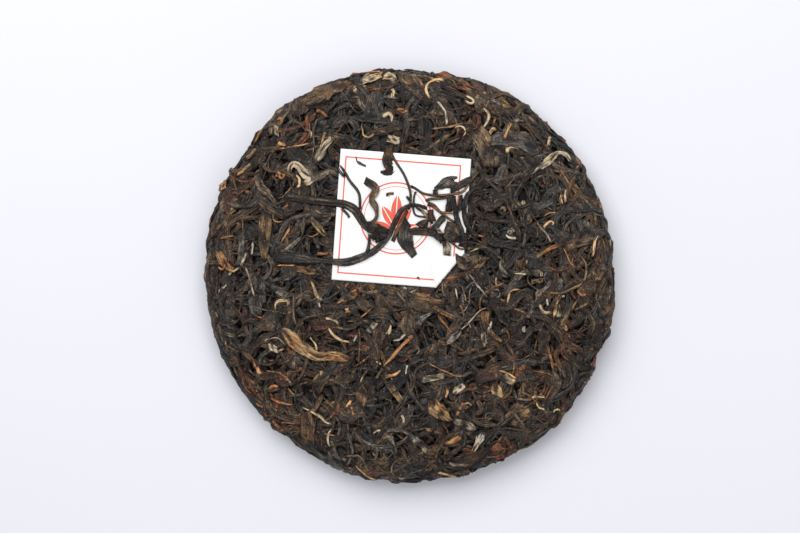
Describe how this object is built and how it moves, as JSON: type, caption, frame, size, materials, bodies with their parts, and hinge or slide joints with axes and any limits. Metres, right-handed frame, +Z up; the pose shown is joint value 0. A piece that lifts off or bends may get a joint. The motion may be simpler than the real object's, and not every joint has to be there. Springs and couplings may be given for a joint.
{
  "type": "raw pu-erh tea cake",
  "caption": "Round pressed cake of dark twisted raw pu-erh tea leaves, domed face with a small square paper ticket held under crossing leaves, flat back with a shallow hollow",
  "frame": {"origin": "middle of the underside, on the surface that the cake lies on", "axes": "+Z up out of the domed face, +Y towards the top edge of the ticket, +X to the right as the ticket is read"},
  "size_m": [0.1982, 0.2022, 0.0258],
  "materials": {
    "pressed_tea": "dry twisted tea leaves, dark brown to blue-black with tan buds and red-brown stems, satin",
    "ticket_paper": "thin matte white paper printed with a plain orange-red frame and sprig"
  },
  "bodies": {
    "root": {"tea_cake": "pressed_tea", "paper_ticket": "ticket_paper"}
  },
  "joints": []
}
